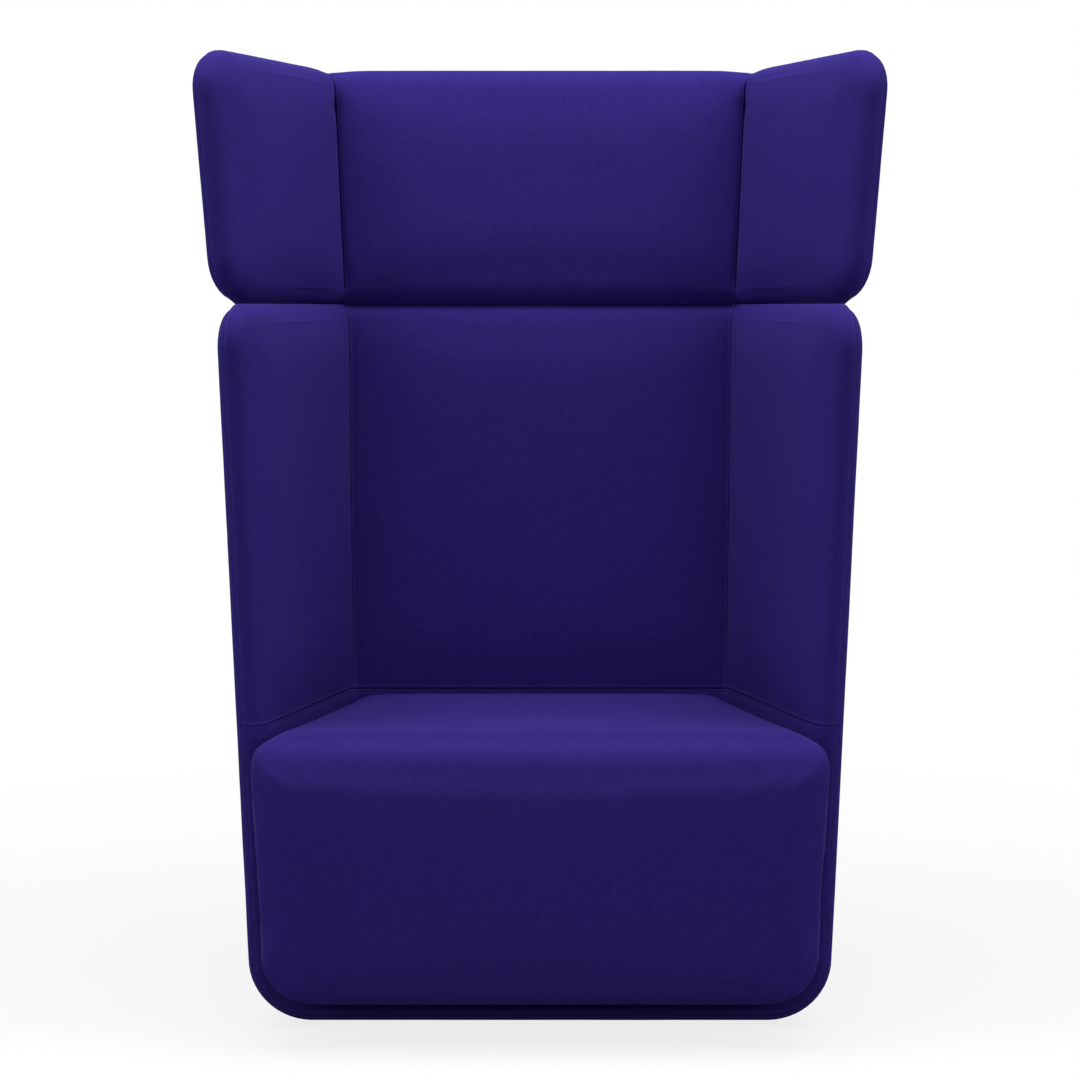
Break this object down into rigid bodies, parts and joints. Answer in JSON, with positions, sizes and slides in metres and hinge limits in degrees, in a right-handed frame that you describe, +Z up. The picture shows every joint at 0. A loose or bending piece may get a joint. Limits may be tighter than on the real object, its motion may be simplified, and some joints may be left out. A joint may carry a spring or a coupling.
{
  "type": "acoustic high back lounge chair",
  "caption": "Felt upholstered high back lounge chair: a deep tub with high sides, a thick seat block and a lift-off winged headrest that screens sound.",
  "frame": {"origin": "on the floor, under the middle of the chair's overall width and depth", "axes": "+Z up, the chair faces -Y, +X to the right of someone who looks at its front"},
  "size_m": [1.0172, 0.7341, 1.3977],
  "materials": {
    "felt": "matt wool felt",
    "foam": "cut upholstery foam",
    "plywood": "raw birch plywood",
    "steel": "bright drawn steel",
    "black_plastic": "matt black nylon",
    "black_cloth": "thin black lining cloth"
  },
  "bodies": {
    "chair": {"outer_cover": "felt", "inner_cover_left": "felt", "inner_cover_right": "felt", "inner_cover_back": "felt", "lower_lining": "felt", "outer_foam": "foam", "side_foam_left": "foam", "side_foam_right": "foam", "back_foam": "foam", "lower_foam": "foam", "rim_frame": "steel", "top_rail": "steel", "corner_posts": "plywood", "side_panel_left": "plywood", "side_panel_right": "plywood", "back_panel": "plywood", "base_knees": "plywood", "base_board": "plywood", "base_dust_cover": "black_cloth", "glides": "black_plastic", "glide_screws": "steel", "socket_ferrules": "black_plastic", "seat_box": "plywood", "seat_bulkheads": "plywood", "seat_bolts": "steel", "seat_springs": "steel", "spring_clips": "steel", "seat_foam": "foam", "seat_cover": "felt", "seat_dust_cover": "black_cloth"},
    "headrest": {"head_outer_cover": "felt", "head_cover_left": "felt", "head_cover_right": "felt", "head_cover_centre": "felt", "head_outer_foam": "foam", "head_inner_foam": "foam", "head_core": "plywood", "head_rim": "steel", "head_rail": "steel", "head_pins": "steel"}
  },
  "joints": [
    {"name": "headrest_lift", "type": "slide", "parent": "chair", "child": "headrest", "axis": [0, 0.1616, 0.9869], "range_m": [0, 0.14]}
  ]
}
